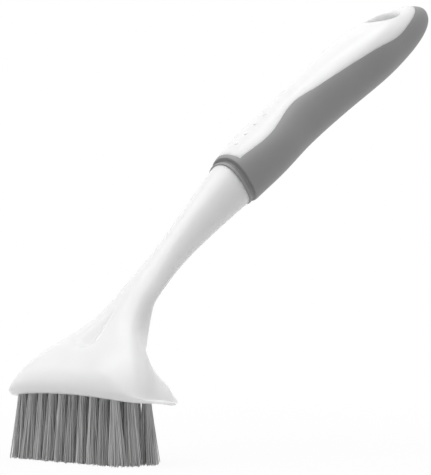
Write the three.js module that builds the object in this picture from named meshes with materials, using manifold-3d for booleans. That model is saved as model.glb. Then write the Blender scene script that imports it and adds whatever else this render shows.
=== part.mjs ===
import * as THREE from "three";
import { mergeVertices } from "three/addons/utils/BufferGeometryUtils.js";
import Module from "manifold-3d";

// Pot brush: a white moulding with a fan-shaped head and a bent handle, a soft grey grip moulded over the
// handle, and nylon tufts held in the head by flat wire anchors.
// Sizes are in millimetres and angles in degrees. Z is up and X runs from the head toward the hang end.
// Y runs across the head. The trimmed bristle tips lie on Z = 0, and the middle tuft ends on the origin.

// Gap that is kept between neighbouring pieces
const CLEARANCE = 0.3;

// Bristle field: four staggered rows of tufts, from the front of the head to the back
const BRISTLE_LENGTH = 25.5;
const ROW_COUNTS = [10, 11, 10, 11];
const MIDDLE_ROW = 1;
const TUFT_PITCH = 5.75;
const ROW_PITCH = 4.3;
const RING_STRANDS = 8;
const STRAND_RADIUS = 0.4;
const STRAND_GAP = 0.1;
const FLARE_ALONG = 1;
const FLARE_ACROSS = 3.4;
const TRIM_DEPTH = 0.5;

// Tuft-bearing layer of the head, and the flat wire anchors in it
const LAYER_THICKNESS = 3.5;
const LAYER_MARGIN = 0.35;
const STRAND_ROOT = 0.8;
const ANCHOR_LENGTH = 3.8;
const ANCHOR_THICKNESS = 0.5;
const ANCHOR_HEIGHT = 1.8;
const ANCHOR_FLOOR = 1.3;

// Head: rim, front wall and the fan that narrows to the neck
const HEAD_SETBACK = 5.5;
const RIM_END_MARGIN = 7.5;
const RIM_SIDE_MARGIN = 9.2;
const LIP_WIDTH = 2;
const LIP_RADIUS = 2;
const RIM_DROOP = 3.5;
const RIM_DROOP_POWER = 1.65;
const RIDGE_DROOP = 7.4;
const RIDGE_DROOP_POWER = 2;
const WALL_HEIGHT = 12;
const WALL_SLOPE = 4.6;
const WALL_BACK_HEIGHT = 7.4;
const WALL_BACK_SLOPE = 0.8;
const WING_TIP_ROUND = 4.9;
const FAN_SAG = 3.4;
const FAN_BACK_LEAN = 5.4;
const FAN_CURVE = 2.25;
const FAN_SHOULDER = 0.55;
const FAN_DROOP_CURVE = 2.4;
const RIDGE_TAPER = 0.08;
const FAN_TAPER = 0.35;
const FAN_STEPS = 10;
const RIM_POWER = 3.2;
const RIDGE_FRONT_POWER = 4;
const RIDGE_BACK_POWER = 2.5;
const ROUND_POWER = 2.1;

// Neck joint, seen from the middle of the bristle field, and the bend of the handle
const NECK_FORWARD = 28.1;
const NECK_HEIGHT = 35.7;
const NECK_TILT = 43.8;
const END_TILT = 28.6;

// Teardrop dimple on top of the neck root
const DIMPLE_FROM_RIDGE = 14;
const DIMPLE_LENGTH = 11;
const DIMPLE_WIDTH = 9;
const DIMPLE_DEPTH = 2;

// Stem, by its half sizes at the neck, at the waist and where the grip starts
const STEM_LENGTH = 65.4;
const NECK_HALF_HEIGHT = 5.4;
const NECK_HALF_WIDTH = 8.4;
const WAIST_AT = 24;
const WAIST_HALF_HEIGHT = 5.85;
const WAIST_HALF_WIDTH = 6.2;
const STEM_END_HALF_HEIGHT = 9.8;
const STEM_END_HALF_WIDTH = 9.1;

// Soft grip: rib, groove and flange at the stem, then shoulder, hollow, palm and rounded end
const GRIP_LENGTH = 134.8;
const SOFT_WALL = 2.6;
const RIB_LENGTH = 1.5;
const RIB_RISE = 0.4;
const GROOVE_LENGTH = 1.7;
const GROOVE_DEPTH = 1;
const FLANGE_RISE = 1.3;
const EDGE_ROUND = 0.5;
const COLLAR_SWEEP = 2;
const COLLAR_FADE = 14;
const SHOULDER_AT = 19.8;
const SHOULDER_HALF_HEIGHT = 11.1;
const SHOULDER_HALF_WIDTH = 13.5;
const HOLLOW_AT = 43.8;
const HOLLOW_HALF_HEIGHT = 11.3;
const HOLLOW_HALF_WIDTH = 11.5;
const PALM_AT = 93.8;
const PALM_HALF_HEIGHT = 11.9;
const PALM_HALF_WIDTH = 15;
const END_ROUND = 56;
const END_POWER = 2.2;
const GRIP_POWER = 2.2;
const PALM_TOP_POWER = 2.5;

// White panel on top of the grip, by its half width along the grip
const PANEL_START = 5.3;
const PANEL_START_HALF_WIDTH = 6.7;
const PANEL_SWELL_AT = 21.5;
const PANEL_SWELL_HALF_WIDTH = 9.4;
const PANEL_HOLLOW_AT = 42;
const PANEL_HOLLOW_HALF_WIDTH = 6.5;
const PANEL_RISE_AT = 56;
const PANEL_RISE_HALF_WIDTH = 8.7;
const PANEL_PALM_AT = 91;
const PANEL_PALM_HALF_WIDTH = 13.4;
const PANEL_TIP_MARGIN = 6.5;
const PANEL_ROUND = 35;
const PANEL_SEAT = 2;

// Raised dots on the panel
const DOT_COUNT = 4;
const DOT_RADIUS = 1;
const DOT_RISE = 0.5;
const DOT_FIRST_AT = 12.4;
const DOT_PITCH = 6.5;

// Hang hole, with a rounded upper edge
const HOLE_DIAMETER = 14.2;
const HOLE_FROM_TIP = 23;
const HOLE_TILT = 20;
const HOLE_LIP = 2.5;

// Facets
const RING_POINTS = 32;
const STATION_STEP = 6;
const ROUND_STEPS = 8;
const LIP_STEPS = 3;
const HOLE_SIDES = 24;

const module = await Module();
module.setup();
const { Manifold, Mesh } = module;

const rad = THREE.MathUtils.degToRad;
const mix = THREE.MathUtils.lerp;
const underside = BRISTLE_LENGTH;
const handleLength = STEM_LENGTH + GRIP_LENGTH;
const roundStart = handleLength - END_ROUND;

// Turns a closed three.js geometry into a solid for the boolean operations.
function solidOf(geometry) {
  const plain = new THREE.BufferGeometry();
  plain.setAttribute("position", geometry.getAttribute("position"));
  plain.setIndex(geometry.getIndex());
  const merged = mergeVertices(plain, 1e-4);
  return new Manifold(
    new Mesh({
      numProp: 3,
      vertProperties: new Float32Array(merged.getAttribute("position").array),
      triVerts: new Uint32Array(merged.getIndex().array),
    }),
  );
}

// Turns a finished solid into a named mesh.
function meshOf(solid, name, material) {
  const data = solid.getMesh();
  const geometry = new THREE.BufferGeometry();
  geometry.setAttribute("position", new THREE.BufferAttribute(new Float32Array(data.vertProperties), 3));
  geometry.setIndex(new THREE.BufferAttribute(new Uint32Array(data.triVerts), 1));
  geometry.computeVertexNormals();
  const mesh = new THREE.Mesh(geometry, material);
  mesh.name = name;
  return mesh;
}

// Joins rings of equal point count into one closed solid, with a fan on each end.
function loft(rings, startPoint, endPoint) {
  const count = rings[0].length;
  const middle = (ring) => ring.reduce((sum, p) => sum.add(p), new THREE.Vector3()).divideScalar(count);
  const points = rings.flat().concat(startPoint ?? middle(rings[0]), endPoint ?? middle(rings.at(-1)));
  const start = points.length - 2;
  const end = points.length - 1;
  const last = (rings.length - 1) * count;
  const index = [];
  for (let i = 0; i < count; i += 1) {
    const next = (i + 1) % count;
    index.push(start, next, i);
    index.push(end, last + i, last + next);
    for (let row = 0; row < last; row += count) {
      index.push(row + i, row + next, row + count + i);
      index.push(row + next, row + count + next, row + count + i);
    }
  }
  const geometry = new THREE.BufferGeometry().setFromPoints(points);
  geometry.setIndex(index);
  return solidOf(geometry);
}

// One section: a superellipse of the given half sizes in the plane of Y and the upward direction, with one
// power for its upper half and one for its lower half. With a taper it is wider above and narrower below.
function section(centre, upward, halfHeight, halfWidth, powers, taper = 0) {
  const ring = [];
  for (let i = 0; i < RING_POINTS; i += 1) {
    const angle = (2 * Math.PI * i) / RING_POINTS;
    const power = Math.sin(angle) >= 0 ? powers[0] : powers[1];
    const across = Math.sign(Math.cos(angle)) * Math.abs(Math.cos(angle)) ** (2 / power) * halfWidth;
    const high = Math.sign(Math.sin(angle)) * Math.abs(Math.sin(angle)) ** (2 / power) * halfHeight;
    const point = centre.clone().addScaledVector(upward, high);
    point.y = across * (1 + (taper * high) / halfHeight);
    ring.push(point);
  }
  return ring;
}

// Smooth value along a list of [place, value] keys, level beyond both ends.
function along(keys, place) {
  if (place <= keys[0][0]) {
    return keys[0][1];
  }
  for (let i = 1; i < keys.length; i += 1) {
    const [from, start] = keys[i - 1];
    const [to, end] = keys[i];
    if (place <= to) {
      const before = keys[i - 2] ?? keys[i - 1];
      const after = keys[i + 1] ?? keys[i];
      const span = to - from;
      const t = (place - from) / span;
      const leave = ((end - before[1]) / (to - before[0])) * span;
      const arrive = ((after[1] - start) / (after[0] - from)) * span;
      const rise = end - start;
      return start + t * (leave + t * (3 * rise - 2 * leave - arrive + t * (leave + arrive - 2 * rise)));
    }
  }
  return keys.at(-1)[1];
}

function spaced(from, to, step) {
  const count = Math.max(1, Math.ceil((to - from) / step));
  return Array.from({ length: count + 1 }, (_, i) => from + ((to - from) * i) / count);
}

// Tufts and the layer of the head that carries them

const ringRadius = (2 * STRAND_RADIUS + STRAND_GAP) / (2 * Math.sin(Math.PI / RING_STRANDS));
const tuftRadius = ringRadius + STRAND_RADIUS;
const rowPlace = (row) => (row - MIDDLE_ROW) * ROW_PITCH;
const rowMargin = tuftRadius + LAYER_MARGIN;
const rowHalfWidth = (row) => ((ROW_COUNTS[row] - 1) / 2) * TUFT_PITCH + rowMargin;
const fieldFront = rowPlace(0) - rowMargin;
const fieldBack = rowPlace(ROW_COUNTS.length - 1) + rowMargin;
const fieldMiddle = (fieldFront + fieldBack) / 2;
const fieldHalfDepth = (fieldBack - fieldFront) / 2;
const fieldHalfWidth = rowHalfWidth(1);
const headMiddle = fieldMiddle + HEAD_SETBACK;
const headHalfWidth = fieldHalfWidth + RIM_END_MARGIN;
const headHalfDepth = fieldHalfDepth + RIM_SIDE_MARGIN;

function tuftsOf(rows) {
  return rows.flatMap((row) =>
    Array.from({ length: ROW_COUNTS[row] }, (_, i) => ({
      x: rowPlace(row),
      y: (i - (ROW_COUNTS[row] - 1) / 2) * TUFT_PITCH,
    })),
  );
}

// A slice of the layer between two depths and two heights. Ahead of the second row it is only as wide as
// the front row, because the head is rounded there.
function slab(front, back, grow, from, to) {
  const part = (start, half) => {
    const width = back - start + 2 * grow;
    return block((start + back) / 2, 0, (from + to) / 2, width, 2 * (half + grow), to - from);
  };
  const wideStart = Math.max(front, rowPlace(1) - rowMargin);
  return part(front, rowHalfWidth(0)).add(part(wideStart, fieldHalfWidth));
}

function block(x, y, z, width, length, height) {
  return solidOf(new THREE.BoxGeometry(width, length, height).translate(x, y, z));
}

// One three-sided strand, from inside the layer to just under the trim plane. Strands spread with their
// distance from the middle of the field, so no two of them meet.
function strand(x, y) {
  const rings = [underside + STRAND_ROOT, -TRIM_DEPTH].map((z) => {
    const drop = (underside - z) / underside;
    const flareX = FLARE_ALONG * (x / fieldHalfDepth) * drop;
    const flareY = FLARE_ACROSS * (y / fieldHalfWidth) * drop;
    return [0, 1, 2].map((i) => {
      const angle = (2 * Math.PI * i) / 3;
      const out = [Math.cos(angle) * STRAND_RADIUS, Math.sin(angle) * STRAND_RADIUS];
      return new THREE.Vector3(x + flareX + out[0], y + flareY - out[1], z);
    });
  });
  return loft(rings);
}

function strandsOf(tuft) {
  const strands = [strand(tuft.x, tuft.y)];
  for (let i = 0; i < RING_STRANDS; i += 1) {
    const angle = (2 * Math.PI * i) / RING_STRANDS;
    strands.push(strand(tuft.x + ringRadius * Math.cos(angle), tuft.y + ringRadius * Math.sin(angle)));
  }
  return strands;
}

const anchorMiddle = underside + ANCHOR_FLOOR + ANCHOR_HEIGHT / 2;
const layerTop = underside + LAYER_THICKNESS;

function anchor(tuft) {
  return block(tuft.x, tuft.y, anchorMiddle, ANCHOR_THICKNESS, ANCHOR_LENGTH, ANCHOR_HEIGHT);
}

function anchorSlot(tuft) {
  const floor = underside + ANCHOR_FLOOR - CLEARANCE;
  const height = layerTop + CLEARANCE - floor;
  const width = ANCHOR_THICKNESS + 2 * CLEARANCE;
  const length = ANCHOR_LENGTH + 2 * CLEARANCE;
  return block(tuft.x, tuft.y, floor + height / 2, width, length, height);
}

function bristles(rows, front, back) {
  const tufts = tuftsOf(rows);
  const carrier = slab(front, back, 0, underside, layerTop);
  const trim = block(0, 0, -TRIM_DEPTH, 4 * headHalfWidth, 4 * headHalfWidth, 2 * TRIM_DEPTH);
  return Manifold.union([carrier, ...tufts.flatMap(strandsOf)])
    .subtract(Manifold.union(tufts.map(anchorSlot)))
    .subtract(trim);
}

// Spine of the handle: an even bend from the neck to the end

const neck = new THREE.Vector3(fieldMiddle + NECK_FORWARD, 0, underside + NECK_HEIGHT);

function spine(place) {
  const bend = rad(END_TILT - NECK_TILT) / handleLength;
  const tilt = rad(NECK_TILT) + bend * place;
  const forward = (Math.sin(tilt) - Math.sin(rad(NECK_TILT))) / bend;
  const rise = (Math.cos(rad(NECK_TILT)) - Math.cos(tilt)) / bend;
  return {
    centre: new THREE.Vector3(neck.x + forward, 0, neck.z + rise),
    upward: new THREE.Vector3(-Math.sin(tilt), 0, Math.cos(tilt)),
    forward: new THREE.Vector3(Math.cos(tilt), 0, Math.sin(tilt)),
  };
}

// A section of the handle. Near the collar its sides are swept toward the head.
function handleSection(place, halfHeight, halfWidth, powers) {
  const { centre, upward, forward } = spine(place);
  const away = Math.min(1, Math.abs(place - STEM_LENGTH) / COLLAR_FADE);
  const sweep = COLLAR_SWEEP * (1 - away ** 2) ** 2;
  return section(centre, upward, halfHeight, halfWidth, powers).map((point) =>
    point.addScaledVector(forward, -sweep * (point.y / halfWidth) ** 2),
  );
}

const flangePlace = STEM_LENGTH + CLEARANCE + RIB_LENGTH + GROOVE_LENGTH + EDGE_ROUND;

const stemHeights = [
  [0, NECK_HALF_HEIGHT],
  [WAIST_AT, WAIST_HALF_HEIGHT],
  [STEM_LENGTH, STEM_END_HALF_HEIGHT],
];
const stemWidths = [
  [0, NECK_HALF_WIDTH],
  [WAIST_AT, WAIST_HALF_WIDTH],
  [STEM_LENGTH, STEM_END_HALF_WIDTH],
];
const gripHeights = [
  [flangePlace, STEM_END_HALF_HEIGHT + FLANGE_RISE],
  [STEM_LENGTH + SHOULDER_AT, SHOULDER_HALF_HEIGHT],
  [STEM_LENGTH + HOLLOW_AT, HOLLOW_HALF_HEIGHT],
  [STEM_LENGTH + PALM_AT, PALM_HALF_HEIGHT],
];
const gripWidths = [
  [flangePlace, STEM_END_HALF_WIDTH + FLANGE_RISE],
  [STEM_LENGTH + SHOULDER_AT, SHOULDER_HALF_WIDTH],
  [STEM_LENGTH + HOLLOW_AT, HOLLOW_HALF_WIDTH],
  [STEM_LENGTH + PALM_AT, PALM_HALF_WIDTH],
];
const panelWidths = [
  [STEM_LENGTH + PANEL_START, PANEL_START_HALF_WIDTH],
  [STEM_LENGTH + PANEL_SWELL_AT, PANEL_SWELL_HALF_WIDTH],
  [STEM_LENGTH + PANEL_HOLLOW_AT, PANEL_HOLLOW_HALF_WIDTH],
  [STEM_LENGTH + PANEL_RISE_AT, PANEL_RISE_HALF_WIDTH],
  [STEM_LENGTH + PANEL_PALM_AT, PANEL_PALM_HALF_WIDTH],
  [handleLength - PANEL_ROUND / 2, PANEL_PALM_HALF_WIDTH],
];

// Share of the full size that is left at a place in a rounded end.
const roundEnd = (over) => Math.max(0, 1 - Math.max(0, over) ** END_POWER) ** (1 / END_POWER);

// Half sizes of the grip at a place, drawn in by an inset, with a rounded end.
function gripSize(place, inset) {
  const shrink = roundEnd((place - roundStart) / (END_ROUND - inset));
  return {
    height: (along(gripHeights, place) - inset) * shrink,
    width: (along(gripWidths, place) - inset) * shrink,
  };
}

function gripSection(place, inset) {
  const size = gripSize(place, inset);
  const share = THREE.MathUtils.smoothstep(place, STEM_LENGTH + HOLLOW_AT, STEM_LENGTH + PALM_AT);
  const powers = [mix(GRIP_POWER, PALM_TOP_POWER, share), GRIP_POWER];
  return handleSection(place, size.height, size.width, powers);
}

function roundStations(start, length) {
  return Array.from({ length: ROUND_STEPS }, (_, i) =>
    start + length * Math.sin((Math.PI / 2) * ((i + 1) / (ROUND_STEPS + 0.6))),
  );
}

function gripBody(from, inset, front = []) {
  const places = [...spaced(from, roundStart, STATION_STEP), ...roundStations(roundStart, END_ROUND - inset)];
  const rings = [...front, ...places.map((place) => gripSection(place, inset))];
  return loft(rings, undefined, spine(handleLength - inset).centre);
}

// A prism over the panel's outline, from inside the handle to above its top.
function panelPrism(grow) {
  const start = STEM_LENGTH + PANEL_START;
  const end = handleLength - PANEL_TIP_MARGIN;
  const bend = end - PANEL_ROUND;
  const places = [...spaced(start, bend, STATION_STEP / 2), ...roundStations(bend, PANEL_ROUND)];
  const rings = places.map((place) => {
    const half = along(panelWidths, place) * roundEnd((place - bend) / PANEL_ROUND) + grow;
    const reach = gripSize(place, 0).height + SOFT_WALL;
    const shift = place === start ? -grow : place === places.at(-1) ? grow : 0;
    const { centre, upward } = spine(place + shift);
    const corner = (across, high) => {
      const point = centre.clone().addScaledVector(upward, high);
      point.y = across;
      return point;
    };
    const seat = PANEL_SEAT - grow;
    return [corner(half, seat), corner(half, reach), corner(-half, reach), corner(-half, seat)];
  });
  return loft(rings);
}

// Hang hole, with a rounded upper edge

const holePlace = handleLength - HOLE_FROM_TIP;
const holeSpine = spine(holePlace);
const holeTop = holeSpine.centre.clone().addScaledVector(holeSpine.upward, gripSize(holePlace, 0).height);

function hangHole() {
  const radius = HOLE_DIAMETER / 2;
  const depth = 4 * PALM_HALF_HEIGHT;
  const profile = [new THREE.Vector2(0, -depth), new THREE.Vector2(radius, -depth)];
  for (let i = 0; i <= LIP_STEPS; i += 1) {
    const angle = (Math.PI / 2) * (i / (LIP_STEPS + 0.5));
    const out = HOLE_LIP * (1 - Math.cos(angle));
    profile.push(new THREE.Vector2(radius + out, HOLE_LIP * (Math.sin(angle) - 1)));
  }
  profile.push(new THREE.Vector2(radius + 2 * HOLE_LIP, HOLE_LIP));
  profile.push(new THREE.Vector2(radius + 2 * HOLE_LIP, depth), new THREE.Vector2(0, depth));
  const geometry = new THREE.LatheGeometry(profile, HOLE_SIDES);
  geometry.rotateX(Math.PI / 2);
  geometry.rotateY(rad(-HOLE_TILT));
  geometry.translate(holeTop.x, 0, holeTop.z);
  return solidOf(geometry);
}

// Head, neck and stem in one loft from the rim to the grip

const rimFront = new THREE.Vector3(headMiddle - headHalfDepth, 0, underside + LIP_RADIUS);
const rimBack = new THREE.Vector3(headMiddle + headHalfDepth, 0, underside + LIP_RADIUS);
const ridgeFront = new THREE.Vector3(rimFront.x + WALL_SLOPE, 0, underside + WALL_HEIGHT);
const ridgeBack = new THREE.Vector3(rimBack.x - WALL_BACK_SLOPE, 0, underside + WALL_BACK_HEIGHT);
const neckUp = spine(0).upward;
const neckTop = neck.clone().addScaledVector(neckUp, NECK_HALF_HEIGHT);
const neckUnder = neck.clone().addScaledVector(neckUp, -NECK_HALF_HEIGHT);

// Ring between a front point and a back point of the side profile.
function profileRing(front, back, halfWidth, powers, taper) {
  const centre = front.clone().add(back).multiplyScalar(0.5);
  const upward = front.clone().sub(back);
  const halfHeight = upward.length() / 2;
  return section(centre, upward.normalize(), halfHeight, halfWidth, powers, taper);
}

// Lets both sides of a ring hang down.
function drooped(ring, droop, power) {
  for (const point of ring) {
    point.z -= droop * Math.abs(point.y / headHalfWidth) ** power;
  }
  return ring;
}

function rimRing(inset, rise, droop) {
  const centre = new THREE.Vector3(headMiddle, 0, underside + rise);
  const forward = new THREE.Vector3(-1, 0, 0);
  const powers = [RIM_POWER, RIM_POWER];
  const ring = section(centre, forward, headHalfDepth - inset, headHalfWidth - inset, powers);
  return drooped(ring, droop, RIM_DROOP_POWER);
}

// The wall stands upright on the rim and curves in toward the ridge.
function wallRing(t) {
  const front = rimFront.clone().lerp(ridgeFront, t);
  const back = rimBack.clone().lerp(ridgeBack, t);
  front.x = mix(rimFront.x, ridgeFront.x, t ** 2);
  back.x = mix(rimBack.x, ridgeBack.x, t ** 2);
  const powers = [RIDGE_FRONT_POWER, RIDGE_BACK_POWER].map((power) => mix(RIM_POWER, power, t));
  const ring = profileRing(front, back, headHalfWidth - WING_TIP_ROUND * t ** 2, powers, RIDGE_TAPER * t);
  return drooped(ring, mix(RIM_DROOP, RIDGE_DROOP, t), mix(RIM_DROOP_POWER, RIDGE_DROOP_POWER, t));
}

// Point on the hollow front line of the fan, from the ridge at 0 to the neck at 1.
function fanFront(t) {
  const front = ridgeFront.clone().lerp(neckTop, t);
  front.z -= FAN_SAG * 4 * t * (1 - t);
  return front;
}

// The fan narrows from the ridge to the neck, along a hollow front and a curved back. Its front is wider than
// its back, so that a crease runs down each flank.
function fanRing(t) {
  const lean = new THREE.Vector3(ridgeBack.x + FAN_BACK_LEAN, 0, ridgeBack.z);
  const back = new THREE.QuadraticBezierCurve3(ridgeBack, lean, neckUnder).getPoint(t);
  const share = (1 + FAN_SHOULDER) * (1 - t) ** FAN_CURVE - FAN_SHOULDER * (1 - t) ** 4;
  const halfWidth = mix(NECK_HALF_WIDTH, headHalfWidth - WING_TIP_ROUND, share);
  const powers = [mix(RIDGE_FRONT_POWER, ROUND_POWER, t ** 2), mix(RIDGE_BACK_POWER, ROUND_POWER, t)];
  const taper = (1 - t) * (RIDGE_TAPER + 4 * FAN_TAPER * t);
  const ring = profileRing(fanFront(t), back, halfWidth, powers, taper);
  return drooped(ring, RIDGE_DROOP * (1 - t) ** FAN_DROOP_CURVE, RIDGE_DROOP_POWER);
}

function headAndStem() {
  const rings = [
    rimRing(LIP_RADIUS + LIP_WIDTH, 0, 0),
    rimRing(LIP_RADIUS, 0, RIM_DROOP),
    rimRing(0, LIP_RADIUS, RIM_DROOP),
    wallRing(0.5),
    wallRing(1),
  ];
  for (let i = 1; i < FAN_STEPS; i += 1) {
    rings.push(fanRing(i / FAN_STEPS));
  }
  for (const place of spaced(0, STEM_LENGTH, STATION_STEP)) {
    const powers = [ROUND_POWER, ROUND_POWER];
    rings.push(handleSection(place, along(stemHeights, place), along(stemWidths, place), powers));
  }
  return loft(rings, new THREE.Vector3(headMiddle, 0, underside));
}

// Teardrop cutter: a ball end and a long cone, laid along the top of the neck root.
function dimple() {
  const radius = (DIMPLE_WIDTH ** 2 / 4 + DIMPLE_DEPTH ** 2) / (2 * DIMPLE_DEPTH);
  const coneLength = (DIMPLE_LENGTH * radius) / DIMPLE_DEPTH;
  const profile = [];
  for (let i = 0; i < 5; i += 1) {
    const angle = (Math.PI / 2) * (i / 5);
    profile.push(new THREE.Vector2(radius * Math.sin(angle), -radius * Math.cos(angle)));
  }
  profile.push(new THREE.Vector2(radius, 0), new THREE.Vector2(0, coneLength));
  const share = (DIMPLE_FROM_RIDGE + DIMPLE_WIDTH / 2) / ridgeFront.distanceTo(neckTop);
  const slope = fanFront(share + 0.1).sub(fanFront(share - 0.1)).normalize();
  const outward = new THREE.Vector3(-slope.z, 0, slope.x);
  const place = fanFront(share).addScaledVector(outward, radius - DIMPLE_DEPTH);
  const geometry = new THREE.LatheGeometry(profile, 16);
  geometry.applyQuaternion(new THREE.Quaternion().setFromUnitVectors(new THREE.Vector3(0, 1, 0), slope));
  return solidOf(geometry.translate(place.x, place.y, place.z));
}

function dot(i) {
  const place = STEM_LENGTH + DOT_FIRST_AT + i * DOT_PITCH;
  const { centre, upward } = spine(place);
  const middle = centre.addScaledVector(upward, gripSize(place, 0).height + DOT_RISE - DOT_RADIUS);
  return solidOf(new THREE.SphereGeometry(DOT_RADIUS, 10, 8).translate(middle.x, 0, middle.z));
}

function coreMoulding() {
  const tang = gripBody(STEM_LENGTH - SOFT_WALL, SOFT_WALL + CLEARANCE);
  const panel = gripBody(STEM_LENGTH + PANEL_START / 2, 0).intersect(panelPrism(0));
  const pocketFloor = underside - 2 * LAYER_THICKNESS;
  const pocket = slab(fieldFront, fieldBack, CLEARANCE, pocketFloor, layerTop + CLEARANCE);
  const dots = Array.from({ length: DOT_COUNT }, (_, i) => dot(i));
  return Manifold.union([headAndStem(), tang, panel, ...dots])
    .subtract(pocket)
    .subtract(dimple())
    .subtract(hangHole());
}

// Rings of the rib and the groove, ahead of the flange.
function collarRings() {
  const start = STEM_LENGTH + CLEARANCE;
  const ribEnd = start + RIB_LENGTH;
  const grooveEnd = ribEnd + GROOVE_LENGTH;
  const steps = [
    [start, RIB_RISE - EDGE_ROUND],
    [start + EDGE_ROUND, RIB_RISE],
    [ribEnd - EDGE_ROUND, RIB_RISE],
    [ribEnd, RIB_RISE - GROOVE_DEPTH],
    [grooveEnd - EDGE_ROUND, RIB_RISE - GROOVE_DEPTH],
    [grooveEnd, FLANGE_RISE - EDGE_ROUND],
  ];
  return steps.map(([place, rise]) => {
    const powers = [ROUND_POWER, ROUND_POWER];
    return handleSection(place, STEM_END_HALF_HEIGHT + rise, STEM_END_HALF_WIDTH + rise, powers);
  });
}

function softGrip() {
  return gripBody(flangePlace, 0, collarRings())
    .subtract(gripBody(STEM_LENGTH - SOFT_WALL, SOFT_WALL))
    .subtract(panelPrism(CLEARANCE))
    .subtract(hangHole());
}

const white = new THREE.MeshStandardMaterial({ color: 0xf2f2f0, roughness: 0.25, metalness: 0 });
const grey = new THREE.MeshStandardMaterial({ color: 0x8c8c8c, roughness: 0.75, metalness: 0 });
const nylon = new THREE.MeshStandardMaterial({ color: 0x858585, roughness: 0.5, metalness: 0 });
const wire = new THREE.MeshStandardMaterial({ color: 0xb5b5b0, roughness: 0.35, metalness: 1 });

const brush = new THREE.Group();
brush.name = "pot_brush";
brush.add(meshOf(coreMoulding(), "core_moulding", white));
brush.add(meshOf(softGrip(), "soft_grip", grey));

const split = fieldMiddle;
const gap = CLEARANCE / 2;
brush.add(meshOf(bristles([0, 1], fieldFront, split - gap), "bristles_front", nylon));
brush.add(meshOf(bristles([2, 3], split + gap, fieldBack), "bristles_rear", nylon));

tuftsOf([0, 1, 2, 3]).forEach((tuft, i) => {
  brush.add(meshOf(anchor(tuft), `anchor_${String(i + 1).padStart(2, "0")}`, wire));
});

export default brush;
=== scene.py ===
"""Pot brush with a fan-shaped head, a bent stem and a soft grip, dressed for a white studio.

Sizes are in millimetres until a mesh is made, and angles are in degrees. Z is up, X runs from the head to
the hang end and Y runs across the head. A place on the handle is its distance from the neck along the
handle's middle line.
"""

import logging
import math
from dataclasses import dataclass
from enum import Enum

import bpy
import numpy as np
from mathutils import Matrix, Vector

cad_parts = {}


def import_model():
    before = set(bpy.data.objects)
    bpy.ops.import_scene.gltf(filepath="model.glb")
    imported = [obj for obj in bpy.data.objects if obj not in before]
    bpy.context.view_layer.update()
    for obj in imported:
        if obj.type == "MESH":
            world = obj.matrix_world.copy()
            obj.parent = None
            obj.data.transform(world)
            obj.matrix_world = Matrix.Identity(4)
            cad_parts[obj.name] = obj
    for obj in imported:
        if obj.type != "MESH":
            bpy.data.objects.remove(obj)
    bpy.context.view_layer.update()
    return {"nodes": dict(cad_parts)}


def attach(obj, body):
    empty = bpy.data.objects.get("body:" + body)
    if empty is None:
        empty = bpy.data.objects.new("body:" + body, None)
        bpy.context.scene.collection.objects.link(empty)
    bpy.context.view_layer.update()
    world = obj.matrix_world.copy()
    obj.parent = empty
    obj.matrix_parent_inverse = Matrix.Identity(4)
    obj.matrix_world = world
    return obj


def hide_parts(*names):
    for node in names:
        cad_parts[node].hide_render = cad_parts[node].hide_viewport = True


MM = 0.001
WELD_M = 1e-7
TINY = 1e-6
CREASE = 35.0
ROUND_LEVELS = 2
GOLDEN_ANGLE = math.pi * (3 - math.sqrt(5))
WHITE = (1.0, 1.0, 1.0, 1.0)
EVEN_SCATTER = (1.0, 1.0, 1.0)
LOG = logging.getLogger("pot_brush")
Keys = tuple[tuple[float, float], ...]
Number = float | np.ndarray

# A Mix node has several sockets of one name, so its colour sockets go by number
COLOUR_A, COLOUR_B, COLOUR_RESULT = 6, 7, 2


class Cut(Enum):
    """Ways to combine two closed pieces."""

    AWAY = "DIFFERENCE"
    SHARED = "INTERSECT"
    JOINED = "UNION"


# Helpers for modelling


def select_only(piece: bpy.types.Object) -> None:
    """Selects one piece and makes it the active one.

    Args:
        piece: Piece to select.
    """
    bpy.ops.object.select_all(action="DESELECT")
    piece.select_set(True)
    bpy.context.view_layer.objects.active = piece


def wrap(name: str, rings: np.ndarray) -> bpy.types.Object:
    """Wraps a grid primitive round a stack of rings and closes its seam and both ends.

    Args:
        name: Name of the new piece.
        rings: Points in millimetres, as rings by points by three.

    Returns:
        The closed piece, with its faces outward.
    """
    rows, count, _ = rings.shape
    bpy.ops.object.select_all(action="DESELECT")
    bpy.ops.mesh.primitive_grid_add(x_subdivisions=count, y_subdivisions=rows - 1, size=1)
    piece = bpy.context.object
    piece.name = name
    closed = np.concatenate([rings, rings[:, :1]], axis=1)
    piece.data.vertices.foreach_set("co", (closed * MM).ravel())
    bpy.ops.object.mode_set(mode="EDIT")
    bpy.ops.mesh.select_all(action="SELECT")
    bpy.ops.mesh.remove_doubles(threshold=WELD_M)
    bpy.ops.mesh.fill_holes(sides=0)
    bpy.ops.mesh.normals_make_consistent(inside=False)
    bpy.ops.object.mode_set(mode="OBJECT")
    return piece


def round_off(piece: bpy.types.Object, levels: int) -> None:
    """Smooths a cage with an applied subdivision surface.

    Args:
        piece: Cage to smooth.
        levels: Number of subdivisions.
    """
    select_only(piece)
    modifier = piece.modifiers.new("round", "SUBSURF")
    modifier.levels = levels
    modifier.render_levels = levels
    bpy.ops.object.modifier_apply(modifier=modifier.name)


def combine(piece: bpy.types.Object, tool: bpy.types.Object, cut: Cut) -> None:
    """Applies one boolean and removes the tool that made it.

    Args:
        piece: Closed piece that stays.
        tool: Closed piece that is used up.
        cut: Way in which the two are combined.
    """
    select_only(piece)
    modifier = piece.modifiers.new("cut", "BOOLEAN")
    modifier.operation = cut.value
    modifier.solver = "MANIFOLD"
    modifier.object = tool
    bpy.ops.object.modifier_apply(modifier=modifier.name)
    bpy.data.objects.remove(tool)


def smooth(piece: bpy.types.Object, crease: float) -> None:
    """Shades a piece smooth, apart from edges sharper than the crease angle."""
    select_only(piece)
    bpy.ops.object.shade_smooth_by_angle(angle=math.radians(crease))


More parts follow.
